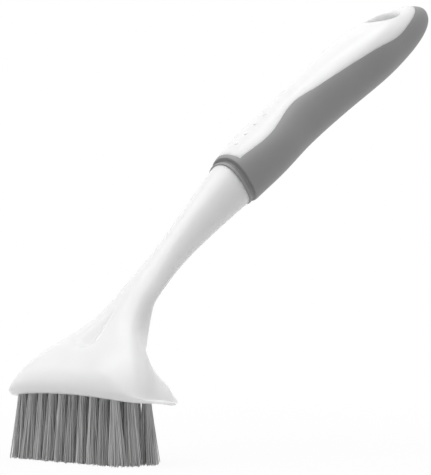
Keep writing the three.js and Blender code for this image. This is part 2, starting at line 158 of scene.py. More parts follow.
def along(keys: Keys, place: float) -> float:
    """Gives a smooth value along a list of keys, level beyond both ends.

    Args:
        keys: Pairs of a place and its value, in order of place.
        place: Place of the value.

    Returns:
        The value there.
    """
    if place <= keys[0][0]:
        return keys[0][1]
    for i in range(1, len(keys)):
        (start, low), (end, high) = keys[i - 1], keys[i]
        if place <= end:
            before = keys[max(i - 2, 0)]
            after = keys[min(i + 1, len(keys) - 1)]
            span = end - start
            t = (place - start) / span
            leave = (high - before[1]) / (end - before[0]) * span
            arrive = (after[1] - low) / (after[0] - start) * span
            rise = high - low
            turn = 3 * rise - 2 * leave - arrive + t * (leave + arrive - 2 * rise)
            return low + t * (leave + t * turn)
    return keys[-1][1]


def mix(start: Number, end: Number, share: Number) -> Number:
    """Blends two values or points."""
    return start + (end - start) * share


def ease(place: float, start: float, end: float) -> float:
    """Rises smoothly from 0 at the start to 1 at the end."""
    t = min(1.0, max(0.0, (place - start) / (end - start)))
    return t * t * (3 - 2 * t)


def arch(t: float) -> float:
    """Rises from 0 at 0 to 1 in the middle and falls to 0 at 1."""
    return 4 * t * (1 - t)


def quarter_turn(steps: int, margin: float) -> list[float]:
    """Lists the sines of even steps of a quarter turn, which end a share of a step short of 1."""
    return [math.sin(math.pi / 2 * i / (steps + margin)) for i in range(1, steps + 1)]


def section(
    centre: np.ndarray,
    upward: np.ndarray,
    half: tuple[float, float],
    powers: tuple[float, float],
    count: int,
) -> np.ndarray:
    """Draws a superellipse in the plane of Y and the upward direction.

    Args:
        centre: Middle of the section.
        upward: Direction of its height.
        half: Half height and half width.
        powers: Power of the upper half and of the lower half.
        count: Number of points.

    Returns:
        The points of the ring.
    """
    angle = 2 * np.pi * np.arange(count) / count
    power = np.where(np.sin(angle) >= -TINY, powers[0], powers[1])
    across = np.sign(np.cos(angle)) * np.abs(np.cos(angle)) ** (2 / power) * half[1]
    high = np.sign(np.sin(angle)) * np.abs(np.sin(angle)) ** (2 / power) * half[0]
    ring = centre + np.outer(high, upward)
    ring[:, 1] = across
    return ring


# Finishes


def linear(code: str) -> tuple[float, float, float, float]:
    """Turns an sRGB hex colour into the linear colour that a shader takes.

    Args:
        code: Colour such as #A0B0C0.

    Returns:
        Red, green, blue and a full alpha.
    """
    parts = [int(code[i : i + 2], 16) / 255 for i in (1, 3, 5)]
    red, green, blue = [c / 12.92 if c <= 0.04045 else ((c + 0.055) / 1.055) ** 2.4 for c in parts]
    return red, green, blue, 1.0


def fill(tree: bpy.types.NodeTree, node: bpy.types.Node, inputs: dict[str | int, object]) -> None:
    """Sets or links the inputs of a node.

    Args:
        tree: Tree that holds the node.
        node: Node whose inputs are filled.
        inputs: Values or sockets, by the name or number of the input.
    """
    for key, value in inputs.items():
        if isinstance(value, bpy.types.NodeSocket):
            tree.links.new(value, node.inputs[key])
        else:
            node.inputs[key].default_value = value


def add_node(
    tree: bpy.types.NodeTree, kind: str, inputs: dict[str | int, object], **settings: object
) -> bpy.types.Node:
    """Adds a node to a tree.

    Args:
        tree: Tree that takes the node.
        kind: Type of the node.
        inputs: Values or sockets for its inputs, by name or number.
        settings: Properties of the node.

    Returns:
        The new node.
    """
    node = tree.nodes.new(kind)
    for key, value in settings.items():
        setattr(node, key, value)
    fill(tree, node, inputs)
    return node


def blank(name: str) -> tuple[bpy.types.Material, bpy.types.NodeTree, bpy.types.Node]:
    """Starts a material.

    Args:
        name: Name of the material.

    Returns:
        The material, its tree and its shader.
    """
    made = bpy.data.materials.new(name)
    made.use_nodes = True
    return made, made.node_tree, made.node_tree.nodes["Principled BSDF"]


def dress(piece: bpy.types.Object, material: bpy.types.Material) -> None:
    """Gives a piece its only material."""
    piece.data.materials.clear()
    piece.data.materials.append(material)


@dataclass(frozen=True)
class MouldedPolypropylene:
    """White polypropylene from a polished mould: glossy, with a trace of flow in its surface.

    Light goes a few millimetres into it, which softens the shade across its thin edges.
    """

    name: str = "moulded_polypropylene_white"
    pale: str = "#F4F4F4"
    deep: str = "#F0F0F0"
    roughness: tuple[float, float] = (0.2, 0.28)
    ior: float = 1.49
    specular: float = 0.3
    flow_mm: float = 9.0
    peel_mm: float = 1.6
    peel_depth_mm: float = 0.1
    scatter: float = 0.8
    scatter_mm: float = 5.0

    def material(self) -> bpy.types.Material:
        """Makes the material.

        Returns:
            The new material.
        """
        made, tree, shader = blank(self.name)
        place = add_node(tree, "ShaderNodeTexCoord", {}).outputs["Object"]
        flow = add_node(
            tree,
            "ShaderNodeTexNoise",
            {"Vector": place, "Scale": 1 / (self.flow_mm * MM), "Detail": 2.0},
        ).outputs["Fac"]
        colour = add_node(
            tree,
            "ShaderNodeMix",
            {"Factor": flow, COLOUR_A: linear(self.deep), COLOUR_B: linear(self.pale)},
            data_type="RGBA",
        ).outputs[COLOUR_RESULT]
        rough = add_node(
            tree,
            "ShaderNodeMapRange",
            {"Value": flow, "To Min": self.roughness[0], "To Max": self.roughness[1]},
        ).outputs["Result"]
        peel = add_node(
            tree,
            "ShaderNodeTexNoise",
            {"Vector": place, "Scale": 1 / (self.peel_mm * MM), "Detail": 1.0},
        ).outputs["Fac"]
        bump = add_node(
            tree,
            "ShaderNodeBump",
            {"Height": peel, "Strength": 0.05, "Distance": self.peel_depth_mm * MM},
        ).outputs["Normal"]
        fill(
            tree,
            shader,
            {
                "Base Color": colour,
                "Roughness": rough,
                "Normal": bump,
                "IOR": self.ior,
                "Specular IOR Level": self.specular,
                "Subsurface Weight": self.scatter,
                "Subsurface Radius": EVEN_SCATTER,
                "Subsurface Scale": self.scatter_mm * MM,
            },
        )
        return made


@dataclass(frozen=True)
class ThermoplasticRubber:
    """Grey thermoplastic rubber from an eroded mould: a low sheen, spread by a fine grain."""

    name: str = "thermoplastic_rubber_grey"
    pale: str = "#9A9A9A"
    deep: str = "#909090"
    roughness: tuple[float, float] = (0.45, 0.52)
    ior: float = 1.48
    grain_mm: float = 0.5
    grain_depth_mm: float = 0.05
    cloud_mm: float = 14.0

    def material(self) -> bpy.types.Material:
        """Makes the material. The grain of the real mould is finer and is drawn coarser, so that it shows.

        Returns:
            The new material.
        """
        made, tree, shader = blank(self.name)
        place = add_node(tree, "ShaderNodeTexCoord", {}).outputs["Object"]
        grain = add_node(
            tree,
            "ShaderNodeTexNoise",
            {"Vector": place, "Scale": 1 / (self.grain_mm * MM), "Detail": 3.0},
        ).outputs["Fac"]
        cloud = add_node(
            tree,
            "ShaderNodeTexNoise",
            {"Vector": place, "Scale": 1 / (self.cloud_mm * MM), "Detail": 2.0},
        ).outputs["Fac"]
        colour = add_node(
            tree,
            "ShaderNodeMix",
            {"Factor": cloud, COLOUR_A: linear(self.deep), COLOUR_B: linear(self.pale)},
            data_type="RGBA",
        ).outputs[COLOUR_RESULT]
        rough = add_node(
            tree,
            "ShaderNodeMapRange",
            {"Value": grain, "To Min": self.roughness[0], "To Max": self.roughness[1]},
        ).outputs["Result"]
        bump = add_node(
            tree,
            "ShaderNodeBump",
            {"Height": grain, "Strength": 0.12, "Distance": self.grain_depth_mm * MM},
        ).outputs["Normal"]
        fill(tree, shader, {"Base Color": colour, "Roughness": rough, "Normal": bump, "IOR": self.ior})
        return made


@dataclass(frozen=True)
class NylonFilament:
    """Drawn grey nylon: smooth filaments with a soft gloss, some of them lighter than the rest."""

    name: str = "nylon_filament_grey"
    pale: str = "#F4F4F4"
    deep: str = "#9A9A9A"
    roughness: float = 0.35
    ior: float = 1.53
    scatter: float = 0.8
    scatter_mm: float = 0.5

    def material(self) -> bpy.types.Material:
        """Makes the material, which reads each filament's tone from the mesh.

        Returns:
            The new material.
        """
        made, tree, shader = blank(self.name)
        tone = add_node(tree, "ShaderNodeAttribute", {}, attribute_name="tone").outputs["Fac"]
        colour = add_node(
            tree,
            "ShaderNodeMix",
            {"Factor": tone, COLOUR_A: linear(self.deep), COLOUR_B: linear(self.pale)},
            data_type="RGBA",
        ).outputs[COLOUR_RESULT]
        fill(
            tree,
            shader,
            {
                "Base Color": colour,
                "Roughness": self.roughness,
                "IOR": self.ior,
                "Subsurface Weight": self.scatter,
                "Subsurface Radius": EVEN_SCATTER,
                "Subsurface Scale": self.scatter_mm * MM,
            },
        )
        return made


@dataclass(frozen=True)
class GalvanisedWire:
    """Flat steel wire with a zinc coat: dull grey metal with a soft drawn grain."""

    name: str = "galvanised_wire"
    colour: str = "#B4B6B5"
    roughness: tuple[float, float] = (0.3, 0.5)
    grain_mm: float = 0.4

    def material(self) -> bpy.types.Material:
        """Makes the material.

        Returns:
            The new material.
        """
        made, tree, shader = blank(self.name)
        place = add_node(tree, "ShaderNodeTexCoord", {}).outputs["Object"]
        grain = add_node(
            tree,
            "ShaderNodeTexNoise",
            {"Vector": place, "Scale": 1 / (self.grain_mm * MM), "Detail": 2.0},
        ).outputs["Fac"]
        rough = add_node(
            tree,
            "ShaderNodeMapRange",
            {"Value": grain, "To Min": self.roughness[0], "To Max": self.roughness[1]},
        ).outputs["Result"]
        fill(tree, shader, {"Base Color": linear(self.colour), "Roughness": rough, "Metallic": 1.0})
        return made


# The brush


@dataclass
class BristleField:
    """Four staggered rows of tufts and the filaments in them."""

    # Layout of the tufts
    length: float = 25.5
    row_counts: tuple[int, ...] = (10, 11, 10, 11)
    middle_row: int = 1
    tuft_pitch: float = 5.75
    row_pitch: float = 4.3
    layer_edge: float = 1.93

    # Spread of a tuft, from its root to its trimmed tip
    tuft_radius: float = 1.5
    tip_radius: float = 2.9
    stray: float = 0.6
    flare_along: float = 0.2
    flare_across: float = 2.2
    bow_power: float = 1.1
    trim_spread: float = 0.8

    # One filament
    filaments: int = 100
    filament_radius: float = 0.15
    root_depth: float = 1.5
    sides: int = 5
    cuts: int = 3
    crease: float = 80.0

    # Tones from 0 to 1: mean and spread of the tufts, spread in a tuft, and the few bright filaments
    tuft_tone: tuple[float, float] = (0.47, 0.1)
    tone_spread: float = 0.14
    bright_lift: float = 0.4
    bright_share: float = 0.12

    def row_place(self, row: int) -> float:
        """Gives a row's place along X."""
        return (row - self.middle_row) * self.row_pitch

    def tuft_place(self, row: int, column: int) -> np.ndarray:
        """Gives a tuft's place along X and Y."""
        across = (column - (self.row_counts[row] - 1) / 2) * self.tuft_pitch
        return np.array([self.row_place(row), across])

    @property
    def half_depth(self) -> float:
        """Half of the field along X."""
        return (len(self.row_counts) - 1) / 2 * self.row_pitch + self.layer_edge

    @property
    def half_width(self) -> float:
        """Half of the field along Y."""
        return (max(self.row_counts) - 1) / 2 * self.tuft_pitch + self.layer_edge

    def filament(self) -> tuple[np.ndarray, list[tuple[int, ...]]]:
        """Models one filament of unit length along -Z.

        Returns:
            Its points and its faces.
        """
        bpy.ops.object.select_all(action="DESELECT")
        bpy.ops.mesh.primitive_cylinder_add(vertices=self.sides, radius=1, depth=1, location=(0, 0, -0.5))
        piece = bpy.context.object
        bpy.ops.object.transform_apply(location=True)
        bpy.ops.object.mode_set(mode="EDIT")
        for cut in range(1, self.cuts + 1):
            bpy.ops.mesh.select_all(action="SELECT")
            bpy.ops.mesh.bisect(plane_co=(0, 0, -cut / (self.cuts + 1)), plane_no=(0, 0, 1))
        bpy.ops.object.mode_set(mode="OBJECT")
        points = np.array([v.co for v in piece.data.vertices])
        faces = [tuple(face.vertices) for face in piece.data.polygons]
        bpy.data.objects.remove(piece)
        return points, faces

    def build(
        self, name: str, rows: tuple[int, ...], seed: int, finish: bpy.types.Material
    ) -> bpy.types.Object:
        """Copies the filament into every tuft of some rows.

        Args:
            name: Name of the piece.
            rows: Rows that the piece holds.
            seed: Start of the random spread.
            finish: Material of the piece.

        Returns:
            The finished bristles.
        """
        points, faces = self.filament()
        depth = -points[:, 2]
        rng = np.random.default_rng(seed)
        all_points, all_tones, all_faces = [], [], []
        places = [self.tuft_place(row, column) for row in rows for column in range(self.row_counts[row])]
        flare = np.array([self.flare_along / self.half_depth, self.flare_across / self.half_width])
        for tuft in places:
            shade = rng.normal(*self.tuft_tone)
            for i in range(self.filaments):
                angle = i * GOLDEN_ANGLE
                reach = math.sqrt((i + 0.5) / self.filaments)
                out = np.array([math.cos(angle), math.sin(angle)]) * reach
                root = tuft + out * self.tuft_radius
                tip = tuft * (1 + flare) + out * self.tip_radius + rng.normal(0, self.stray, 2)
                short = 0.0 if i == 0 else abs(rng.normal(0, self.trim_spread))
                line = root + np.outer(depth**self.bow_power, tip - root)
                shape = np.empty_like(points)
                shape[:, :2] = line + points[:, :2] * self.filament_radius
                shape[:, 2] = mix(self.length + self.root_depth, short, depth)
                tone = rng.normal(shade, self.tone_spread)
                tone += self.bright_lift * (rng.random() < self.bright_share)
                start = len(all_points) * len(points)
                all_points.append(shape)
                all_tones.append(np.full(len(points), np.clip(tone, 0, 1), np.float32))
                all_faces.extend(tuple(start + v for v in face) for face in faces)
        mesh = bpy.data.meshes.new(name)
        mesh.from_pydata((np.concatenate(all_points) * MM).tolist(), [], all_faces)
        tones = mesh.attributes.new("tone", "FLOAT", "POINT")
        tones.data.foreach_set("value", np.concatenate(all_tones))
        piece = bpy.data.objects.new(name, mesh)
        bpy.context.scene.collection.objects.link(piece)
        smooth(piece, self.crease)
        dress(piece, finish)
        return piece


@dataclass
class Spine:
    """Middle line of the handle, with an even bend from the neck to the end."""

    neck: tuple[float, float] = (30.25, 61.2)
    neck_tilt: float = 43.8
    end_tilt: float = 28.6
    length: float = 200.2
    collar: float = 65.4
    collar_sweep: float = 2.0
    collar_fade: float = 14.0

    def at(self, place: float) -> tuple[np.ndarray, np.ndarray, np.ndarray]:
        """Follows the line to a place.

        Args:
            place: Distance from the neck.

        Returns:
            The centre, the upward direction and the forward direction there.
        """
        start = math.radians(self.neck_tilt)
        bend = math.radians(self.end_tilt - self.neck_tilt) / self.length
        tilt = start + bend * place
        x = self.neck[0] + (math.sin(tilt) - math.sin(start)) / bend
        z = self.neck[1] + (math.cos(start) - math.cos(tilt)) / bend
        upward = np.array([-math.sin(tilt), 0.0, math.cos(tilt)])
        forward = np.array([math.cos(tilt), 0.0, math.sin(tilt)])
        return np.array([x, 0.0, z]), upward, forward

    def ring(
        self, place: float, half: tuple[float, float], powers: tuple[float, float], count: int
    ) -> np.ndarray:
        """Draws a section of the handle, with its sides swept to the head near the collar.

        Args:
            place: Distance from the neck.
            half: Half height and half width.
            powers: Power of the upper half and of the lower half.
            count: Number of points.

        Returns:
            The points of the ring.
        """
        centre, upward, forward = self.at(place)
        away = min(1.0, abs(place - self.collar) / self.collar_fade)
        sweep = self.collar_sweep * (1 - away**2) ** 2
        ring = section(centre, upward, half, powers, count)
        share = (ring[:, 1] / max(half[1], TINY)) ** 2
        return ring - np.outer(sweep * share, forward)


@dataclass
class GripForm:
    """Outer form of the grip, and the panel and hang hole that are cut into it."""

    spine: Spine

    # Outer form, whose half heights and half widths are keyed by place
    flange_at: float = 69.4
    heights: Keys = ((69.4, 11.1), (85.2, 11.1), (109.2, 11.3), (159.2, 11.9))
    widths: Keys = ((69.4, 10.4), (85.2, 13.5), (109.2, 11.5), (159.2, 15.0))
    power: float = 2.2
    palm_top_power: float = 2.5
    palm_rise: tuple[float, float] = (109.2, 159.2)
    end_round: float = 56.0
    end_power: float = 2.2
    overrun: float = 6.0

    # Rings of the form
    points: int = 32
    ring_gap: float = 3.5
    end_rings: int = 16
    end_margin: float = 0.4

    # Panel in the top of the grip
    panel_start: float = 70.7
    panel_widths: Keys = (
        (70.7, 6.7),
        (86.9, 9.4),
        (107.4, 6.5),
        (121.4, 8.7),
        (156.4, 13.4),
        (182.7, 13.4),
    )
    panel_tip_margin: float = 6.5
    panel_round: float = 35.0
    panel_seat: float = 2.0
    panel_headroom: float = 4.0
    panel_fit: float = 0.03
    panel_rings: int = 90
    panel_end_rings: int = 24
    panel_end_margin: float = 0.3

    # Hang hole, whose cutter reaches from below the grip to above it
    hole_radius: float = 7.1
    hole_from_tip: float = 23.0
    hole_tilt: float = 20.0
    hole_lip: float = 2.5
    hole_reach: tuple[float, float] = (-40.0, 30.0)
    hole_lip_steps: int = 9
    hole_points: int = 96

    def round_end(self, over: float) -> float:
        """Gives the share of the full size that is left in the rounded end."""
        return max(0.0, 1 - max(0.0, over) ** self.end_power) ** (1 / self.end_power)

    def size(self, place: float, inset: float) -> tuple[float, float]:
        """Gives the size of a section.

        Args:
            place: Distance from the neck.
            inset: Depth under the surface.

        Returns:
            Its half height and half width.
        """
        start = self.spine.length - self.end_round
        share = self.round_end((place - start) / (self.end_round - inset))
        return (along(self.heights, place) - inset) * share, (along(self.widths, place) - inset) * share

    def ring(self, place: float, inset: float) -> np.ndarray:
        """Draws a section, which is squarer at the top of the palm.

        Args:
            place: Distance from the neck.
            inset: Depth under the surface.

        Returns:
            The points of the ring.
        """
        top_power = mix(self.power, self.palm_top_power, ease(place, *self.palm_rise))
        return self.spine.ring(place, self.size(place, inset), (top_power, self.power), self.points)

    def stations(self, start: float, inset: float) -> list[float]:
        """Lists the places of the rings, closer together in the rounded end.

        Args:
            start: First place.
            inset: Depth under the surface.

        Returns:
            The places in order.
        """
        bend = self.spine.length - self.end_round
        straight = np.linspace(start, bend, max(2, int((bend - start) / self.ring_gap)))
        turns = quarter_turn(self.end_rings, self.end_margin)
        return [*straight, *[bend + (self.end_round - inset) * turn for turn in turns]]

    def rings(self, start: float, inset: float) -> np.ndarray:
        """Draws the rings of the grip from a start to the end."""
        return np.array([self.ring(place, inset) for place in self.stations(start, inset)])

    def panel_tool(self, grow: float) -> bpy.types.Object:
        """Makes the prism over the panel's outline, from inside the handle to above its top.

        Args:
            grow: Size that is added all round.

        Returns:
            The closed prism.
        """
        end = self.spine.length - self.panel_tip_margin
        bend = end - self.panel_round
        turns = quarter_turn(self.panel_end_rings, self.panel_end_margin)
        places = [
            *np.linspace(self.panel_start, bend, self.panel_rings),
            *[bend + self.panel_round * turn for turn in turns],
        ]
        rings = []
        for place in places:
            share = self.round_end((place - bend) / self.panel_round)
            half = np.array([0.0, along(self.panel_widths, place) * share + grow, 0.0])
            shift = -grow if place == places[0] else grow if place == places[-1] else 0.0
            centre, upward, _ = self.spine.at(place + shift)
            low = centre + upward * (self.panel_seat - grow)
            high = centre + upward * (self.size(place, 0)[0] + self.panel_headroom)
            rings.append([low + half, high + half, high - half, low - half])
        return wrap("panel_tool", np.array(rings))

    def hole_tool(self) -> bpy.types.Object:
        """Makes the cutter of the hang hole, which flares into a rounded upper edge.

        Returns:
            The closed cutter.
        """
        place = self.spine.length - self.hole_from_tip
        centre, upward, _ = self.spine.at(place)
        top = centre + upward * self.size(place, 0)[0]
        tilt = math.radians(self.hole_tilt)
        axis = np.array([-math.sin(tilt), 0.0, math.cos(tilt)])
        side = np.array([math.cos(tilt), 0.0, math.sin(tilt)])
        radius, lip = self.hole_radius, self.hole_lip
        profile = [(radius, self.hole_reach[0]), (radius, -lip)]
        for i in range(1, self.hole_lip_steps):
            angle = math.pi / 2 * i / self.hole_lip_steps
            profile.append((radius + lip * (1 - math.cos(angle)), lip * (math.sin(angle) - 1)))
        profile += [(radius + 2 * lip, lip), (radius + 2 * lip, self.hole_reach[1])]
        angle = 2 * np.pi * np.arange(self.hole_points) / self.hole_points
        circle = np.outer(np.cos(angle), side) + np.outer(np.sin(angle), np.array([0.0, 1.0, 0.0]))
        return wrap("hole_tool", np.array([top + axis * high + circle * out for out, high in profile]))


@dataclass
class CoreMoulding:
    """White moulding: head, neck, stem and the handle core, whose top shows as a panel."""

    spine: Spine
    grip: GripForm

    # Underside and rim of the head
    underside: float = 25.5
    underside_shares: tuple[float, ...] = (0.1, 0.5, 0.9)
    middle: float = 7.65
    half_depth: float = 17.6
    half_width: float = 38.55
    lip_radius: float = 2.6
    lip_width: float = 2.0
    lip_bevel: float = 0.3
    rim_droop: float = 3.25
    rim_bow: float = 2.0
    rim_heel: float = 1.12
    rim_power: float = 3.2

    # Wall from the rim to the ridge
    wall_height: float = 9.9
    wall_slope: float = 2.75
    wall_shares: tuple[float, ...] = (0.35, 0.7, 1)
    back_height: float = 5.8
    back_slope: float = -0.45
    tip_round: float = 2.2
    ridge_droop: float = 11.5
    ridge_bow: float = 4.0
    ridge_taper: float = 0.08
    ridge_powers: tuple[float, float] = (3.4, 2.5)

    # Fan from the ridge to the neck, where the gain makes the swell's peak about 1
    fan_sag: float = 1.5
    fan_swell: float = 1.2
    fan_swell_gain: float = 12.2
    fan_fade: int = 4
    fan_lean: float = 11.4
    fan_curve: float = 3.27
    fan_shoulder: float = 2.14
    fan_taper: float = 0.75
    fan_steps: int = 10

    # Stem and core, whose half heights and half widths are keyed by place
    stem_heights: Keys = ((0.0, 5.4), (24.0, 5.85), (65.4, 9.8))
    stem_widths: Keys = ((0.0, 8.4), (24.0, 6.2), (65.4, 9.1))
    stem_rings: int = 14
    round_power: float = 2.1
    soft_wall: float = 2.9
    core_step: float = 0.6
    points: int = 32

    # Dimple at the root of the neck
    dimple_from_ridge: float = 16.0
    dimple_length: float = 18.0
    dimple_half_width: float = 6.4
    dimple_depth: float = 2.8
    dimple_point: float = 0.8
    dimple_fade: int = 3
    dimple_reach: float = 6.0

    # Dots on the panel
    dot_radius: float = 1.0
    dot_rise: float = 0.5
    dots: tuple[float, ...] = (77.8, 84.3, 90.8, 97.3)

    @property
    def ridge(self) -> tuple[np.ndarray, np.ndarray]:
        """Front and back point of the ridge, where the wall ends."""
        front = self.middle - self.half_depth + self.wall_slope
        back = self.middle + self.half_depth - self.back_slope
        return (
            np.array([front, 0, self.underside + self.wall_height]),
            np.array([back, 0, self.underside + self.back_height]),
        )

    @property
    def neck(self) -> tuple[np.ndarray, np.ndarray]:
        """Top and under point of the neck."""
        centre, upward, _ = self.spine.at(0)
        reach = upward * self.stem_heights[0][1]
        return centre + reach, centre - reach

    def drooped(self, ring: np.ndarray, droop: float, bow: float, heel: float = 0.0) -> np.ndarray:
        """Lets the sides of a ring hang down.

        Args:
            ring: Points of the ring, which are moved.
            droop: Drop at the tips.
            bow: Power of the curve of the drop.
            heel: Share by which the drop is larger at the back.

        Returns:
            The same ring.
        """
        back = np.clip((ring[:, 0] - self.middle) / self.half_depth, 0, 1)
        ring[:, 2] -= droop * np.abs(ring[:, 1] / self.half_width) ** bow * (1 + heel * back)
        return ring

    def rim_ring(self, inset: float, rise: float, droop: float) -> np.ndarray:
        """Draws a ring at the rim.

        Args:
            inset: Distance inside the outline.
            rise: Height over the underside.
            droop: Drop at the tips.

        Returns:
            The points of the ring.
        """
        centre = np.array([self.middle, 0, self.underside + rise])
        half = (self.half_depth - inset, self.half_width - inset)
        powers = (self.rim_power, self.rim_power)
        ring = section(centre, np.array([-1.0, 0, 0]), half, powers, self.points)
        return self.drooped(ring, droop, self.rim_bow, self.rim_heel)

    def profile_ring(
        self,
        front: np.ndarray,
        back: np.ndarray,
        half_width: float,
        powers: tuple[float, float],
        taper: float,
    ) -> np.ndarray:
        """Draws a ring between a front point and a back point of the side profile.

        Args:
            front: Its front point.
            back: Its back point.
            half_width: Half of its width in the middle.
            powers: Power of its front half and of its back half.
            taper: Share by which its front is wider, and its back narrower, than its middle.

        Returns:
            The points of the ring.
        """
        reach = np.linalg.norm(front - back) / 2
        upward = (front - back) / (2 * reach)
        centre = (front + back) / 2
        ring = section(centre, upward, (reach, half_width), powers, self.points)
        ring[:, 1] *= 1 + taper * ((ring - centre) @ upward) / reach
        return ring

    def wall_ring(self, t: float) -> np.ndarray:
        """Draws a ring of the wall.

        Args:
            t: Share of the way from the rim to the ridge.

        Returns:
            The points of the ring.
        """
        rim_height = self.underside + self.lip_radius
        front = mix(np.array([self.middle - self.half_depth, 0, rim_height]), self.ridge[0], t)
        back = mix(np.array([self.middle + self.half_depth, 0, rim_height]), self.ridge[1], t)
        front[0] -= self.wall_slope * t * (1 - t)
        back[0] += self.back_slope * t * (1 - t)
        front_power = mix(self.rim_power, self.ridge_powers[0], t)
        back_power = mix(self.rim_power, self.ridge_powers[1], t)
        half_width = self.half_width - self.tip_round * t**2
        taper = self.ridge_taper * t
        ring = self.profile_ring(front, back, half_width, (front_power, back_power), taper)
        droop = mix(self.rim_droop, self.ridge_droop, t)
        return self.drooped(ring, droop, mix(self.rim_bow, self.ridge_bow, t), self.rim_heel * (1 - t))

    def fan_front(self, t: float) -> np.ndarray:
        """Follows the front line of the fan, which swells over the ridge and is hollow toward the neck.

        Args:
            t: Share of the way from the ridge to the neck.

        Returns:
            The point there.
        """
        front = mix(self.ridge[0], self.neck[0], t)
        swell = self.fan_swell_gain * t * (1 - t) ** self.fan_fade
        front[2] += self.fan_swell * swell - self.fan_sag * arch(t)
        return front

    def fan_ring(self, t: float) -> np.ndarray:
        """Draws a ring of the fan.

        Args:
            t: Share of the way from the ridge to the neck.

        Returns:
            The points of the ring.
        """
        ridge_back, neck_under = self.ridge[1], self.neck[1]
        lean = ridge_back + np.array([self.fan_lean, 0, 0])
        back = (1 - t) ** 2 * ridge_back + 2 * t * (1 - t) * lean + t**2 * neck_under
        fade = (1 - t) ** self.fan_fade
        share = (1 + self.fan_shoulder) * (1 - t) ** self.fan_curve - self.fan_shoulder * fade
        half_width = mix(self.stem_widths[0][1], self.half_width - self.tip_round, share)
        front_power = mix(self.ridge_powers[0], self.round_power, 1 - fade)
        back_power = mix(self.ridge_powers[1], self.round_power, t)
        taper = self.ridge_taper * (1 - t) + self.fan_taper * arch(t)
        ring = self.profile_ring(self.fan_front(t), back, half_width, (front_power, back_power), taper)
        return self.drooped(ring, self.ridge_droop, self.ridge_bow)

    def stem_ring(self, place: float) -> np.ndarray:
        """Draws a ring of the stem."""
        half = (along(self.stem_heights, place), along(self.stem_widths, place))
        return self.spine.ring(place, half, (self.round_power, self.round_power), self.points)

    def body(self) -> bpy.types.Object:
        """Lofts the head, the stem and the core inside the grip in one piece.

        Returns:
            The closed cage.
        """
        lip, collar = self.lip_radius, self.spine.collar
        inner = self.rim_ring(lip + self.lip_width, 0, 0)
        bevel = self.lip_bevel * lip
        centre = np.array([self.middle, 0, self.underside])
        rings = [mix(centre, inner, share) for share in self.underside_shares]
        rings += [inner, self.rim_ring(lip, 0, self.rim_droop)]
        rings += [self.rim_ring(bevel, bevel, self.rim_droop), self.rim_ring(0, lip, self.rim_droop)]
        rings += [self.wall_ring(t) for t in self.wall_shares]
        rings += [self.fan_ring(i / self.fan_steps) for i in range(1, self.fan_steps)]
        rings += [self.stem_ring(place) for place in np.linspace(0, collar, self.stem_rings)]
        rings += [self.stem_ring(collar + self.core_step)]
        core = self.grip.rings(collar + 2 * self.core_step, self.soft_wall)
        return wrap("core_moulding_dressed", np.concatenate([np.array(rings), core]))

    def press_dimple(self, piece: bpy.types.Object) -> None:
        """Presses the soft teardrop into the top of the neck root.

        Args:
            piece: Piece whose points are moved.
        """
        share = self.dimple_from_ridge / np.linalg.norm(self.neck[0] - self.ridge[0])
        middle = self.fan_front(share)
        step = 1 / self.fan_steps
        slope = self.fan_front(share + step) - self.fan_front(share - step)
        slope /= np.linalg.norm(slope)
        outward = np.array([-slope[2], 0, slope[0]])
        points = np.empty(len(piece.data.vertices) * 3)
        piece.data.vertices.foreach_get("co", points)
        points = points.reshape(-1, 3) / MM
        run = (points - middle) @ slope
        high = (points - middle) @ outward
        taper = np.clip(1 - run / self.dimple_length, 0, 1) ** self.dimple_point
        half = self.dimple_half_width * np.maximum(taper, TINY)
        behind = np.where(run < 0, run / self.dimple_half_width, 0)
        away = np.sqrt((points[:, 1] / half) ** 2 + behind**2)
        press = self.dimple_depth * taper * np.clip(1 - away**2, 0, 1) ** self.dimple_fade
        press[(high < -self.dimple_reach) | (run > self.dimple_length)] = 0
        points -= np.outer(press, outward)
        piece.data.vertices.foreach_set("co", (points * MM).ravel())
        piece.data.update()

    def raise_dots(self, piece: bpy.types.Object) -> None:
        """Sets the row of raised dots on the panel.

        Args:
            piece: Piece that takes the dots.
        """
        for place in self.dots:
            centre, upward, _ = self.spine.at(place)
            high = self.grip.size(place, 0)[0] + self.dot_rise - self.dot_radius
            spot = (centre + upward * high) * MM
            radius = self.dot_radius * MM
            bpy.ops.object.select_all(action="DESELECT")
            bpy.ops.mesh.primitive_uv_sphere_add(segments=24, ring_count=16, radius=radius, location=spot)
            dot = bpy.context.object
            bpy.ops.object.transform_apply(location=True)
            combine(piece, dot, Cut.JOINED)

    def build(self, finish: bpy.types.Material) -> bpy.types.Object:
        """Builds the whole moulding.

        Args:
            finish: Material of the piece.

        Returns:
            The finished moulding.
        """
        piece = self.body()
        round_off(piece, ROUND_LEVELS)
        self.press_dimple(piece)
        panel = wrap("panel", self.grip.rings(self.spine.collar - self.grip.overrun, 0))
        round_off(panel, ROUND_LEVELS)
        combine(panel, self.grip.panel_tool(-self.grip.panel_fit), Cut.SHARED)
        combine(piece, panel, Cut.JOINED)
        self.raise_dots(piece)
        combine(piece, self.grip.hole_tool(), Cut.AWAY)
        smooth(piece, CREASE)
        dress(piece, finish)
        return piece


